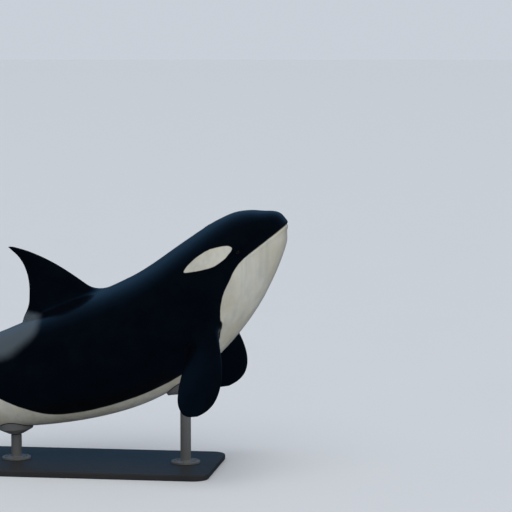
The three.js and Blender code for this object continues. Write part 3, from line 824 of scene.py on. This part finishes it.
mark("white_inset", white)
mark("grey_inset", grey)


# Orca skin is hairless and rubbery, and has a wet film over it, which gives a sharp thin shine over a
# softer one. It is near black with a blue cast where it mirrors the sky, and soft grey in the saddle. Its
# white is creamy, with faint streaks of painted grey shade running down it. Its pores are too fine to
# show, so its grain is drawn coarser.
def linear(hex_colour):
    """An sRGB hex colour as linear light."""
    parts = [int(hex_colour[k : k + 2], 16) / 255 for k in (1, 3, 5)]
    return (*(c / 12.92 if c <= 0.04045 else ((c + 0.055) / 1.055) ** 2.4 for c in parts), 1)


def add_node(tree, kind, inputs=(), **settings):
    """A node with its settings; an input is a value, or another node's output to link."""
    made = tree.nodes.new("ShaderNode" + kind)
    for name, value in settings.items():
        setattr(made, name, value)
    for name, value in dict(inputs).items():
        if isinstance(value, bpy.types.NodeSocket):
            tree.links.new(value, made.inputs[name])
        else:
            made.inputs[name].default_value = value
    return made


def new_material(name):
    """An empty node material and its tree."""
    material = bpy.data.materials.new(name)
    material.use_nodes = True
    material.node_tree.nodes.clear()
    return material, material.node_tree


BLACK = ("#030407", "#06080e")
CREAM = ("#cbc8bc", "#bfb8a4")
SADDLE_GREY = "#4f575c"
# the grey of the painted shade that runs down the white in faint streaks
SHADE_STREAK_GREY = "#93999a"
SHEEN = "#8fd0f0"
EDGE_BLUR = 0.004
EDGE_WANDER = 0.006
EDGE_FRAYING = 0.045  # length of the bays along an edge
SADDLE_BLUR = 0.07
TONE_DRIFT = 0.28  # size of the patches of lighter and darker skin
SKIN_GRAIN = 0.014
SHADE_STREAK_WIDTH = 0.062  # of a streak of painted shade, which is ten times as long
SKIN_IOR = 1.38
FILM_IOR = 1.33

wet_skin, tree = new_material("wet_orca_skin")
place = add_node(tree, "TexCoord").outputs["Object"]
mottle = {"Vector": place, "Scale": 1 / TONE_DRIFT, "Detail": 5, "Roughness": 0.6}
mottle = add_node(tree, "TexNoise", mottle)
fine = add_node(tree, "TexNoise", {"Vector": place, "Scale": 1 / SKIN_GRAIN, "Detail": 3})
wander = add_node(tree, "TexNoise", {"Vector": place, "Scale": 1 / EDGE_FRAYING, "Detail": 2})


def marked_share(tree, attribute, noise, drift, blur):
    """How far each point is inside a marking, with its edge shaken by noise and blurred."""
    inset = add_node(tree, "Attribute", attribute_name=attribute).outputs["Fac"]
    shaken = add_node(tree, "Math", {0: noise, 1: -0.5}, operation="ADD").outputs[0]
    shaken = add_node(tree, "Math", {0: shaken, 1: drift, 2: inset}, operation="MULTIPLY_ADD").outputs[0]
    ranged = {"Value": shaken, "From Min": -blur, "From Max": blur}
    return add_node(tree, "MapRange", ranged, interpolation_type="SMOOTHSTEP").outputs[0]


white_share = marked_share(tree, "white_inset", wander.outputs["Fac"], EDGE_WANDER, EDGE_BLUR)
grey_share = marked_share(tree, "grey_inset", mottle.outputs["Fac"], SADDLE_BLUR, SADDLE_BLUR)
patchy = {"Value": mottle.outputs["Fac"], "From Min": 0.35, "From Max": 0.7}
patchy = add_node(tree, "MapRange", patchy).outputs[0]
black = {"Fac": patchy, "Color1": linear(BLACK[0]), "Color2": linear(BLACK[1])}
black = add_node(tree, "MixRGB", black).outputs[0]
black = {"Fac": grey_share, "Color1": black, "Color2": linear(SADDLE_GREY)}
black = add_node(tree, "MixRGB", black).outputs[0]
cream = {"Fac": patchy, "Color1": linear(CREAM[0]), "Color2": linear(CREAM[1])}
cream = add_node(tree, "MixRGB", cream).outputs[0]
# Painted shade: faint grey streaks down the white, drawn with noise stretched upright.
downwards = add_node(tree, "Mapping", {"Vector": place, "Scale": (1, 1, 0.1)}).outputs[0]
runs = add_node(tree, "TexNoise", {"Vector": downwards, "Scale": 1 / SHADE_STREAK_WIDTH, "Detail": 4}).outputs["Fac"]
runs = {"Value": runs, "From Min": 0.45, "From Max": 0.8, "To Max": 0.4}
runs = add_node(tree, "MapRange", runs).outputs[0]
cream = {"Fac": runs, "Color1": cream, "Color2": linear(SHADE_STREAK_GREY)}
cream = add_node(tree, "MixRGB", cream).outputs[0]
marked = {"Fac": white_share, "Color1": black, "Color2": cream}
marked = add_node(tree, "MixRGB", marked).outputs[0]
rough = {"Value": fine.outputs["Fac"], "To Min": 0.24, "To Max": 0.36}
rough = add_node(tree, "MapRange", rough).outputs[0]
ripple = add_node(tree, "Bump", {"Height": fine.outputs["Fac"], "Strength": 0.25, "Distance": 0.0006})
broad = {"Height": mottle.outputs["Fac"], "Strength": 0.3, "Distance": 0.01, "Normal": ripple.outputs[0]}
ripple = add_node(tree, "Bump", broad)
surface = {
    "Base Color": marked,
    "Roughness": rough,
    "IOR": SKIN_IOR,
    "Specular Tint": linear(SHEEN),
    "Coat Weight": 0.35,
    "Coat Roughness": 0.12,
    "Coat IOR": FILM_IOR,
    "Normal": ripple.outputs[0],
}
shader = add_node(tree, "BsdfPrincipled", surface)
add_node(tree, "OutputMaterial", {"Surface": shader.outputs[0]})
skin_mesh.materials.clear()
skin_mesh.materials.append(wet_skin)

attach(skin, "root")
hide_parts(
    "head", "lower_jaw", "throat", "chest", "breast", "midbody", "belly", "saddle", "tail_stock"
)
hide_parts("dorsal_fin", "pectoral_fin_left", "pectoral_fin_right", "fluke_left", "fluke_right")
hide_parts("eye_patch_left", "eye_patch_right")

# Each eye is a small dark ball, brown round a wide pupil. The clear cornea stands out a little over the
# iris, and under its film of tears it gives a small sharp shine.
EYE_RINGS = 40
EYE_SEGMENTS = 56
IRIS_ANGLE = math.radians(38)
PUPIL_ANGLE = math.radians(17)
CORNEA_RISE = 0.0022
CORNEA_FULLNESS = 0.7  # less than 1 is fuller than a wave
CORNEA_IOR = 1.376
IRIS_STREAK = 0.004
IRIS_COLOURS = ((0, "#020202"), (0.08, "#1d120a"), (0.6, "#2c1c10"), (0.92, "#120b07"), (1, "#171416"))

wet_eye, tree = new_material("wet_eye")
turn = add_node(tree, "Attribute", attribute_name="from_axis").outputs["Fac"]
iris_share = {"Value": turn, "From Min": PUPIL_ANGLE, "From Max": IRIS_ANGLE}
iris_share = add_node(tree, "MapRange", iris_share).outputs[0]
place = add_node(tree, "TexCoord").outputs["Object"]
streaks = add_node(tree, "TexNoise", {"Vector": place, "Scale": 1 / IRIS_STREAK})
ramp = add_node(tree, "ValToRGB", {"Fac": iris_share})
stops = ramp.color_ramp.elements
for place, colour in IRIS_COLOURS:
    stop = stops[0] if place == 0 else stops[-1] if place == 1 else stops.new(place)
    stop.color = linear(colour)
darker = {"Value": streaks.outputs["Fac"], "From Min": 0.3, "From Max": 0.7, "To Min": 0.55, "To Max": 1.2}
darker = add_node(tree, "MapRange", darker).outputs[0]
colour = add_node(tree, "VectorMath", {0: ramp.outputs[0], "Scale": darker}, operation="SCALE").outputs[0]
surface = {"Base Color": colour, "Roughness": 0.12, "IOR": CORNEA_IOR, "Coat Weight": 1.0}
surface["Coat Roughness"] = 0.02
shader = add_node(tree, "BsdfPrincipled", surface)
add_node(tree, "OutputMaterial", {"Surface": shader.outputs[0]})

for name, (point, along, above, out) in eyes.items():
    middle = point - out * EYE_SUNK
    rings, turns_out = [], []
    for k in range(1, EYE_RINGS):
        turn = math.pi * k / EYE_RINGS
        over_iris = max(math.cos(min(turn / IRIS_ANGLE, 1) * math.pi / 2), 0)
        radius = EYE_RADIUS + CORNEA_RISE * over_iris**CORNEA_FULLNESS
        circle = [2 * math.pi * j / EYE_SEGMENTS for j in range(EYE_SEGMENTS)]
        ring = [along * math.cos(a) * math.sin(turn) + above * math.sin(a) * math.sin(turn) for a in circle]
        rings.append([middle + (flat + out * math.cos(turn)) * radius for flat in ring])
        turns_out += [turn] * EYE_SEGMENTS
    mesh = tube_mesh(rings, f"eyeball_{name}")
    layer = mesh.attributes.new("from_axis", "FLOAT", "POINT")
    layer.data.foreach_set("value", turns_out + [0, math.pi])
    mesh.shade_smooth()
    mesh.materials.append(wet_eye)
    eyeball = bpy.data.objects.new(f"eyeball_{name}", mesh)
    bpy.context.scene.collection.objects.link(eyeball)
    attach(eyeball, "root")
    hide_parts(f"eye_{name}")


# The stand is a heavy board in dark satin enamel, and on it two steel posts. Each post is screwed down
# through a round foot and holds the belly in a shallow steel dish, lined with rubber so that the skin
# isn't marked.
CORNER_ROOM = 2.2  # a rounding takes up less than half of a side
SHARP_FROM = math.radians(38)


def turned_mesh(profile, name, around=96):
    """A round piece from radius and height rows, each a ring of points about the z axis."""
    circle = np.arange(around) / around * 2 * math.pi
    rings = []
    for radius, z in profile:
        rings.append(np.stack([radius * np.cos(circle), radius * np.sin(circle), np.full(around, z)], -1))
    return tube_mesh(rings, name)


def rounded(corners, radius, steps=5):
    """Radius and height rows with every corner but the first and last rounded."""
    rows = [corners[0]]
    for before, corner, after in zip(corners, corners[1:], corners[2:]):
        before, corner, after = (np.array(row, float) for row in (before, corner, after))
        into, away = before - corner, after - corner
        into_length, away_length = np.linalg.norm(into), np.linalg.norm(away)
        reach = min(radius, into_length / CORNER_ROOM, away_length / CORNER_ROOM)
        start = corner + into / into_length * reach
        end = corner + away / away_length * reach
        for k in range(steps + 1):
            t = k / steps
            rows.append(tuple(start * (1 - t) ** 2 + corner * 2 * t * (1 - t) + end * t * t))
    return rows + [corners[-1]]


def add_piece(name, mesh, material, slot, *nodes):
    """A smooth-shaded piece of the stand, which takes the place of the named solids."""
    mesh.materials.append(material)
    mesh.shade_smooth()
    mesh.set_sharp_from_angle(angle=SHARP_FROM)
    piece = bpy.data.objects.new(name, mesh)
    bpy.context.scene.collection.objects.link(piece)
    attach(piece, "root")
    if nodes:
        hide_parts(*nodes)


def stand_finish(name, colours, roughness, metallic, grain, bump, stretch=(1, 1, 1)):
    """A finish whose colour and roughness drift between two values, with a faint raised grain."""
    material, tree = new_material(name)
    place = add_node(tree, "TexCoord").outputs["Object"]
    stretched = add_node(tree, "Mapping", {"Vector": place, "Scale": stretch}).outputs[0]
    fine = {"Vector": stretched, "Scale": 1 / grain, "Detail": 4}
    fine = add_node(tree, "TexNoise", fine).outputs["Fac"]
    broad = {"Vector": place, "Scale": 1 / WEAR_DRIFT, "Detail": 4}
    broad = add_node(tree, "TexNoise", broad).outputs["Fac"]
    colour = {"Fac": broad, "Color1": linear(colours[0]), "Color2": linear(colours[1])}
    rough = {"Value": fine, "From Min": 0.3, "From Max": 0.7, "To Min": roughness[0], "To Max": roughness[1]}
    surface = {
        "Base Color": add_node(tree, "MixRGB", colour).outputs[0],
        "Roughness": add_node(tree, "MapRange", rough).outputs[0],
        "Metallic": metallic,
        "IOR": FINISH_IOR,
        "Normal": add_node(tree, "Bump", {"Height": fine, "Strength": 0.5, "Distance": bump}).outputs[0],
    }
    shader = add_node(tree, "BsdfPrincipled", surface)
    add_node(tree, "OutputMaterial", {"Surface": shader.outputs[0]})
    return material


# Sprayed satin enamel shows a faint orange peel. The steel is brushed along its length, which draws its
# shine out, and a clear wax dulls it. The moulded rubber is matt. All grains are drawn about twice as
# coarse as they are.
WEAR_DRIFT = 0.25  # size of the patches of lighter and darker finish
ORANGE_PEEL = 0.0011
BRUSH_LINE = 0.0014
RUBBER_GRAIN = 0.0025
ALONG_BRUSHING = (1, 1, 0.03)
FINISH_IOR = 1.5  # of paint, wax and rubber, and what a metal keeps

satin_enamel = stand_finish("satin_enamel", ("#2c2a29", "#363432"), (0.38, 0.5), 0.0, ORANGE_PEEL, 0.00008)
brushed_steel = stand_finish(
    "brushed_steel", ("#96938f", "#a5a29e"), (0.32, 0.45), 0.6, BRUSH_LINE, 0.00003, ALONG_BRUSHING
)
black_rubber = stand_finish("black_rubber", ("#101112", "#191a1b"), (0.6, 0.8), 0.0, RUBBER_GRAIN, 0.0002)

# The board is solid, with round corners. Its edges are bevelled and eased before it is sprayed, so that
# the enamel doesn't chip.
BASE_CORNER = 0.16
LEAST_CORNER = 0.001
BASE_BEVEL = 0.008
BASE_ROUND = 0.003
CORNER_STEPS = 20
FACE_INSET = 0.3  # of the innermost ring on the top and underside

low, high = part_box("stand_base")
base_profile = [
    (FACE_INSET, low.z),
    (BASE_BEVEL, low.z),
    (0, low.z + BASE_BEVEL),
    (0, high.z - BASE_BEVEL),
    (BASE_BEVEL, high.z),
    (FACE_INSET, high.z),
]
base_rings = []
for inset, z in rounded(base_profile, BASE_ROUND):
    ring = []
    reach = max(BASE_CORNER - inset, LEAST_CORNER)
    shift = min(BASE_CORNER - inset, 0)
    for quarter, (x, y) in enumerate(((1, 1), (-1, 1), (-1, -1), (1, -1))):
        corner = Vector((x * (high.x - BASE_CORNER + shift), y * (high.y - BASE_CORNER + shift), z))
        for k in range(CORNER_STEPS + 1):
            angle = math.pi / 2 * (quarter + k / CORNER_STEPS)
            ring.append(corner + Vector((math.cos(angle), math.sin(angle), 0)) * reach)
    base_rings.append(ring)
add_piece("base_board", tube_mesh(base_rings, "base_board"), satin_enamel, "base_paint", "stand_base")

# Each post is welded to its foot plate with a hollow bead, and six cap screws with washers hold the
# plate down.
STAND_STATIONS = {"front": 31, "rear": 58}
PLATE_ROUND = 0.005
PLATE_HUB = 0.02
POST_ROUND = 0.002
POST_HUB = 0.01
POST_BELOW_DISH = 0.012  # its top ends this far under the dish
POST_SLOPE = 0.018  # length of its top that is cut to the slope of the dish
WELD = 0.012
WELD_STEPS = 6
SCREWS = 6
SCREW_CIRCLE = 0.112
SCREW_HEAD = (0.0135, 0.012)  # radius and height
SCREW_ROUND = 0.0012
SCREW_HUB = 0.004
SCREW_SEGMENTS = 48
WASHER = (0.0165, 0.0018)  # radius and thickness
SOCKET = (0.0075, 0.0035)  # radius of its six corners and height of its floor
SOCKET_EDGES = (0.0007, 0.001, 0.0005)  # width and depth of its bevel, and the step at its floor
SOCKET_HUB = 0.002


def screw_mesh():
    """A cap screw with a six-sided socket, on its washer."""
    (washer, thickness), (head, top), (socket, bottom) = WASHER, SCREW_HEAD, SOCKET
    bevel, drop, floor_step = SOCKET_EDGES
    outside = [(washer, 0), (washer, thickness), (head, thickness), (head, top), (socket + bevel, top)]
    inside = [(socket, top - drop), (socket, bottom + floor_step), (SOCKET_HUB, bottom)]
    profile = [(SCREW_HUB, 0)] + rounded(outside, SCREW_ROUND, 3) + inside
    mesh = turned_mesh(profile, "screw", SCREW_SEGMENTS)
    sixth = math.pi / 3
    for vert in mesh.vertices:
        from_axis = math.hypot(vert.co.x, vert.co.y)
        if vert.co.z > thickness and SOCKET_HUB / 2 < from_axis < socket + bevel / 2:
            turn = math.atan2(vert.co.y, vert.co.x) % sixth - sixth / 2
            flattened = math.cos(sixth / 2) / math.cos(turn)
            vert.co.x, vert.co.y = vert.co.x * flattened, vert.co.y * flattened
    return mesh


# Each dish is turned about the way that the belly faces, and its inside follows the belly. Its lining is
# moulded rubber, glued in, which stands a little proud of the rim.
CRADLE_HUB = 0.02
CRADLE_NECK = 0.078
CRADLE_NECK_DEPTH = 0.074
CRADLE_RADIUS = 0.18
CRADLE_RIM_DEPTH = 0.022
CRADLE_ROUND = 0.006
RIM_ROUND = 0.0015
LINING = 0.006
LINING_LIP = 0.003
LIP_STEPS = 7
GLUE = 0.0002
SKIN_GAP = 0.0003
LINING_HUB = 0.002
RIM_STEPS = 3
CRADLE_RINGS = 12
CRADLE_AROUND = 96


def dish_ring(seat, radius, depth):
    """A ring about a dish's axis, at a depth below the belly."""
    belly, ahead, side, outward = seat
    middle = belly + outward * depth
    turns = (2 * math.pi * j / CRADLE_AROUND for j in range(CRADLE_AROUND))
    return [middle + (ahead * math.cos(turn) + side * math.sin(turn)) * radius for turn in turns]


def fitted_ring(seat, radius, gap):
    """A ring of a dish that lies a little outside the belly's skin."""
    outward = seat[3]
    starts = dish_ring(seat, radius, CRADLE_NECK_DEPTH)
    return [start - outward * (body_tree.ray_cast(start, -outward)[3] - gap) for start in starts]


dish_profile = [
    (CRADLE_HUB, CRADLE_NECK_DEPTH),
    (CRADLE_NECK, CRADLE_NECK_DEPTH),
    (CRADLE_RADIUS, CRADLE_RIM_DEPTH),
    (CRADLE_RADIUS, -CRADLE_RADIUS),
]
for name, station_held in STAND_STATIONS.items():
    low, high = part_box(f"stand_rod_{name}")
    post_radius, post_foot = (high.x - low.x) / 2, low.z
    low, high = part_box(f"stand_foot_{name}")
    foot_radius = (high.x - low.x) / 2
    middle = (low + high) / 2
    over_foot = Matrix.Translation((middle.x, middle.y, 0))
    plate = [(PLATE_HUB, low.z), (foot_radius, low.z), (foot_radius, high.z), (post_radius + WELD, high.z)]
    plate = rounded(plate, PLATE_ROUND)
    for k in range(1, WELD_STEPS + 1):
        t = k / WELD_STEPS
        plate.append((post_radius + WELD * (1 - t) ** 2, high.z + WELD * t**2))
    mesh = turned_mesh(plate, f"foot_plate_{name}")
    mesh.transform(over_foot)
    add_piece(f"foot_plate_{name}", mesh, brushed_steel, "post_steel", f"stand_foot_{name}")

    screws = bmesh.new()
    for k in range(SCREWS):
        angle = 2 * math.pi * (k + 0.5) / SCREWS
        mesh = screw_mesh()
        place = (middle.x + SCREW_CIRCLE * math.cos(angle), SCREW_CIRCLE * math.sin(angle), high.z)
        mesh.transform(Matrix.Translation(place) @ Matrix.Rotation(angle * 5, 4, "Z"))
        screws.from_mesh(mesh)
    mesh = bpy.data.meshes.new(f"foot_screws_{name}")
    screws.to_mesh(mesh)
    screws.free()
    add_piece(f"foot_screws_{name}", mesh, brushed_steel, "post_steel")

    belly = Vector(side_plane(station_held, -section(station_held)[1]))
    belly, outward, *_ = body_tree.find_nearest(belly)
    outward = outward.normalized()
    post_top = (belly + outward * CRADLE_NECK_DEPTH).z - POST_BELOW_DISH
    post = [(POST_HUB, post_foot), (post_radius, post_foot), (post_radius, post_top), (POST_HUB, post_top)]
    mesh = turned_mesh(rounded(post, POST_ROUND), f"post_{name}")
    mesh.transform(over_foot)
    for vert in mesh.vertices:
        if vert.co.z > post_top - POST_SLOPE:
            vert.co.z += (vert.co.x - middle.x) * -outward.x / outward.z
    add_piece(f"post_{name}", mesh, brushed_steel, "post_steel", f"stand_rod_{name}")

    side = Vector((0, 1, 0))
    seat = (belly, side.cross(outward).normalized(), side, outward)
    rings = [dish_ring(seat, *row) for row in rounded(dish_profile, CRADLE_ROUND)[:-1]]
    for k in range(RIM_STEPS + 1):
        gap = LINING + RIM_ROUND * (1 - k / RIM_STEPS)
        rings.append(fitted_ring(seat, CRADLE_RADIUS - RIM_ROUND * k, gap))
    for k in range(1, CRADLE_RINGS):
        radius = LINING_HUB + (CRADLE_RADIUS - RIM_STEPS * RIM_ROUND) * (1 - k / CRADLE_RINGS)
        rings.append(fitted_ring(seat, radius, LINING))
    mesh = tube_mesh(rings, f"cradle_{name}")
    add_piece(f"cradle_{name}", mesh, brushed_steel, "post_steel", f"stand_cradle_{name}")

    flat_radius = CRADLE_RADIUS - LINING_LIP
    radii = [LINING_HUB + flat_radius * k / CRADLE_RINGS for k in range(CRADLE_RINGS + 1)]
    rings = [fitted_ring(seat, radius, LINING - GLUE) for radius in radii]
    for k in range(1, LIP_STEPS):
        turn = math.pi * k / LIP_STEPS
        gap = LINING / 2 * (1 + math.cos(turn)) + GLUE
        rings.append(fitted_ring(seat, CRADLE_RADIUS + LINING_LIP * math.sin(turn), gap))
    rings += [fitted_ring(seat, radius, SKIN_GAP) for radius in reversed(radii)]
    mesh = tube_mesh(rings, f"cradle_lining_{name}")
    add_piece(f"cradle_lining_{name}", mesh, black_rubber, "post_steel")

# The museum's floor is plain and pale, under soft white light from above and ahead. What the wet skin
# mirrors is a cool sky overhead and behind, which leaves its side black, as the photo has it.
FLOOR_REACH = 3000
FLOOR_PAINT = "#e4e6e8"
FLOOR_DRIFT = 1.7  # size of the patches where the roller left the paint smoother
SKY = "#e9f0fa"
MIRRORED_SKY = "#6a9fd0"
MIRRORED_HORIZON = 0.1

floor_mesh = bpy.data.meshes.new("floor")
corners = [(x * FLOOR_REACH, y * FLOOR_REACH, 0) for x, y in ((-1, -1), (1, -1), (1, 1), (-1, 1))]
floor_mesh.from_pydata(corners, [], [(0, 1, 2, 3)])
floor = bpy.data.objects.new("floor", floor_mesh)
bpy.context.scene.collection.objects.link(floor)
floor.visible_glossy = False
floor_paint, tree = new_material("matt_floor_paint")
place = add_node(tree, "TexCoord").outputs["Object"]
patchy = add_node(tree, "TexNoise", {"Vector": place, "Scale": 1 / FLOOR_DRIFT, "Detail": 3}).outputs["Fac"]
rough = add_node(tree, "MapRange", {"Value": patchy, "To Min": 0.65, "To Max": 0.8}).outputs[0]
shader = add_node(tree, "BsdfPrincipled", {"Base Color": linear(FLOOR_PAINT), "Roughness": rough})
add_node(tree, "OutputMaterial", {"Surface": shader.outputs[0]})
floor_mesh.materials.append(floor_paint)

world = bpy.data.worlds.new("sky")
bpy.context.scene.world = world
world.use_nodes = True
tree = world.node_tree
tree.nodes.clear()
way = add_node(tree, "TexCoord").outputs["Generated"]
parts = add_node(tree, "SeparateXYZ", {0: way})
high_up = {"Value": parts.outputs["Z"], "From Min": -0.02, "From Max": 0.75, "To Max": 0.64}
high_up = add_node(tree, "MapRange", high_up, interpolation_type="SMOOTHSTEP").outputs[0]
behind = {"Value": parts.outputs["Y"], "From Min": -0.35, "From Max": 0.6}
behind = add_node(tree, "MapRange", behind, interpolation_type="SMOOTHSTEP").outputs[0]
mirrored = {0: high_up, 1: behind, 2: MIRRORED_HORIZON}
mirrored = add_node(tree, "Math", mirrored, operation="MULTIPLY_ADD").outputs[0]
mirrored = add_node(tree, "Background", {"Color": linear(MIRRORED_SKY), "Strength": mirrored})
spread = add_node(tree, "Background", {"Color": linear(SKY), "Strength": 0.5})
seen = add_node(tree, "Background", {"Color": linear(SKY), "Strength": 0.72})
rays = add_node(tree, "LightPath").outputs
sky = add_node(tree, "MixShader", {0: rays["Is Glossy Ray"], 1: spread.outputs[0], 2: mirrored.outputs[0]})
sky = add_node(tree, "MixShader", {0: rays["Is Camera Ray"], 1: sky.outputs[0], 2: seen.outputs[0]})
add_node(tree, "OutputWorld", {"Surface": sky.outputs[0]})


def soft_sun(name, place, strength, angle):
    """An even soft light that comes from the way of a place and isn't mirrored by the wet skin."""
    data = bpy.data.lights.new(name, "SUN")
    data.energy = strength
    data.angle = math.radians(angle)
    lamp = bpy.data.objects.new(name, data)
    lamp.rotation_euler = Vector(place).to_track_quat("Z", "Y").to_euler()
    lamp.visible_glossy = False
    bpy.context.scene.collection.objects.link(lamp)


soft_sun("key", (1, -2, 5), 1.3, 70)
soft_sun("fill", (3, -5, 1.5), 0.45, 90)
bpy.context.scene.view_settings.view_transform = "Standard"
